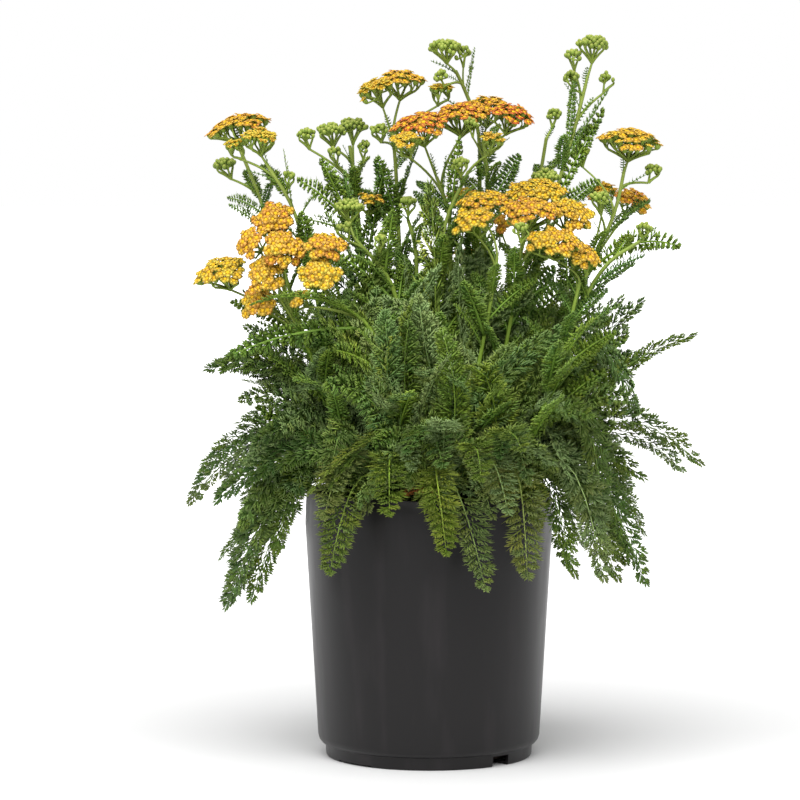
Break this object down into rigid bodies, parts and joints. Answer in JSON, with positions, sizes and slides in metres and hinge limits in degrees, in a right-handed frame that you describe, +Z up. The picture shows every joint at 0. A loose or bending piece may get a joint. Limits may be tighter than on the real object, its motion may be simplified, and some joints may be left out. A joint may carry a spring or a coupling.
{
  "type": "potted yarrow plant",
  "caption": "Flowering yarrow with feathery leaves, leafy stems and flat-topped clusters of orange and yellow florets, in a plain tapered nursery pot.",
  "frame": {"origin": "centre of the pot's flat underside, on the surface that it stands on", "axes": "+Z up along the pot's axis, -Y towards the plant's front, +X to the right seen from the front"},
  "size_m": [0.336, 0.278, 0.4785],
  "materials": {
    "pot_plastic": "satin dark charcoal moulded plastic, softly worn",
    "potting_mix": "dark, rough, moist bark mix",
    "leaf_green": "soft matte green leaf and stem",
    "yellow_florets": "soft matte golden-yellow petals",
    "orange_florets": "soft matte orange to coral petals with golden middles"
  },
  "bodies": {
    "root": {"pot": "pot_plastic", "potting_mix": "potting_mix", "shoot_01": "leaf_green", "shoot_02": "leaf_green", "shoot_03": "leaf_green", "shoot_04": "leaf_green", "shoot_05": "leaf_green", "shoot_06": "leaf_green", "shoot_07": "leaf_green", "shoot_08": "leaf_green", "shoot_09": "leaf_green", "shoot_10": "leaf_green", "shoot_11": "leaf_green", "shoot_12": "leaf_green", "shoot_13": "leaf_green", "shoot_14": "leaf_green", "shoot_15": "leaf_green", "shoot_16": "leaf_green", "shoot_17": "leaf_green", "bloom_01": "yellow_florets", "bloom_02": "yellow_florets", "bloom_03": "yellow_florets", "bloom_04": "yellow_florets", "bloom_05": "yellow_florets", "bloom_06": "orange_florets", "bloom_07": "orange_florets", "bloom_08": "yellow_florets", "bloom_09": "yellow_florets", "bloom_10": "yellow_florets", "bloom_11": "yellow_florets", "bloom_12": "orange_florets", "bloom_13": "yellow_florets", "bloom_14": "yellow_florets", "bloom_15": "orange_florets", "bloom_16": "yellow_florets", "bloom_17": "orange_florets", "bloom_18": "yellow_florets", "bloom_19": "orange_florets", "bloom_20": "orange_florets", "bloom_21": "orange_florets", "bloom_22": "orange_florets", "bloom_23": "orange_florets", "bloom_24": "orange_florets", "bloom_25": "orange_florets", "bloom_26": "yellow_florets", "bloom_27": "yellow_florets", "bloom_28": "orange_florets", "bloom_29": "orange_florets", "bloom_30": "orange_florets", "bloom_31": "orange_florets", "bloom_32": "yellow_florets"}
  },
  "joints": []
}
